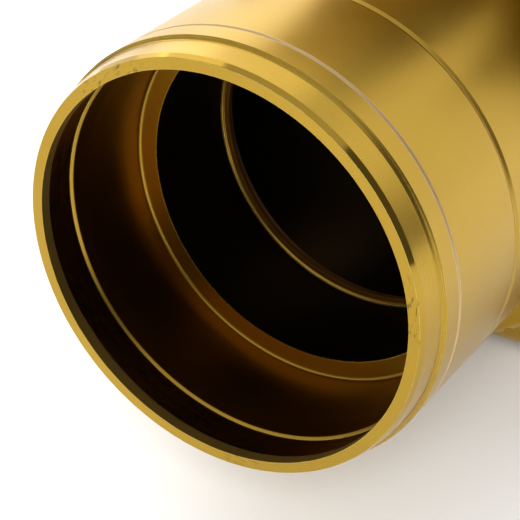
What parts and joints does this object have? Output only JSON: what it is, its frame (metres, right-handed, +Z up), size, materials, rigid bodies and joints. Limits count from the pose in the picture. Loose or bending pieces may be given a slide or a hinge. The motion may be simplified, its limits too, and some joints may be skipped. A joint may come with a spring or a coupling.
{
  "type": "star diagonal",
  "caption": "Two inch mirror star diagonal: a barrel for the focuser, a block with a 45 degree mirror, and an eyepiece socket at right angles with a brass clamping ring and knurled screws.",
  "frame": {"origin": "on the barrel's axis, in the plane of the shoulder that stops the barrel in the focuser", "axes": "+X along the barrel from its mouth into the block, +Z up the eyepiece socket's axis"},
  "size_m": [0.1193, 0.0788, 0.1053],
  "materials": {
    "gold_anodised": "satin gold anodising",
    "black_anodised": "satin black anodising",
    "bright_steel": "bright stainless steel",
    "black_steel": "blackened steel",
    "brass": "bare brass, lightly polished",
    "silvered_glass": "first-surface mirror coating on a ground glass plate",
    "black_rubber": "matt black rubber",
    "clear_silicone": "cured silicone",
    "bare_aluminium": "bare machined aluminium"
  },
  "bodies": {
    "body": {"end_ring": "gold_anodised", "barrel": "gold_anodised", "port_ring": "gold_anodised", "glare_stop": "gold_anodised", "barrel_grub_screws": "black_steel", "block": "gold_anodised", "side_cover_left": "black_anodised", "side_cover_right": "black_anodised", "cover_screws_left": "bright_steel", "cover_screws_right": "bright_steel", "mirror_gasket": "black_rubber", "mirror_glass": "silvered_glass", "mirror_pads": "clear_silicone", "mirror_tray": "bare_aluminium", "tray_set_screws": "black_steel", "back_plate": "black_anodised", "back_plate_screws": "bright_steel", "socket_neck": "gold_anodised", "eyepiece_socket": "gold_anodised", "clamp_ring": "brass", "socket_grub_screws": "black_steel"},
    "clamp_screw_1": {"clamp_screw_1": "bright_steel"},
    "clamp_knob_1": {"clamp_knob_1": "black_anodised"},
    "clamp_screw_2": {"clamp_screw_2": "bright_steel"},
    "clamp_knob_2": {"clamp_knob_2": "black_anodised"}
  },
  "joints": [
    {"name": "clamp_screw_1_travel", "type": "slide", "parent": "body", "child": "clamp_screw_1", "axis": [0.5, 0.866, 0], "range_m": [0, 0.0021]},
    {"name": "clamp_knob_1_turn", "type": "hinge", "parent": "clamp_screw_1", "child": "clamp_knob_1", "pos_m": [0.04142, 0, 0.06042], "axis": [0.5, 0.866, 0], "range_deg": [0, 1080]},
    {"name": "clamp_screw_2_travel", "type": "slide", "parent": "body", "child": "clamp_screw_2", "axis": [0.5, -0.866, 0], "range_m": [0, 0.0021]},
    {"name": "clamp_knob_2_turn", "type": "hinge", "parent": "clamp_screw_2", "child": "clamp_knob_2", "pos_m": [0.04142, 0, 0.06042], "axis": [0.5, -0.866, 0], "range_deg": [0, 1080]}
  ],
  "couplings": [
    {"joint": "clamp_knob_1_turn", "follows": "clamp_screw_1_travel", "rad_per_m": 8976},
    {"joint": "clamp_knob_2_turn", "follows": "clamp_screw_2_travel", "rad_per_m": 8976}
  ]
}
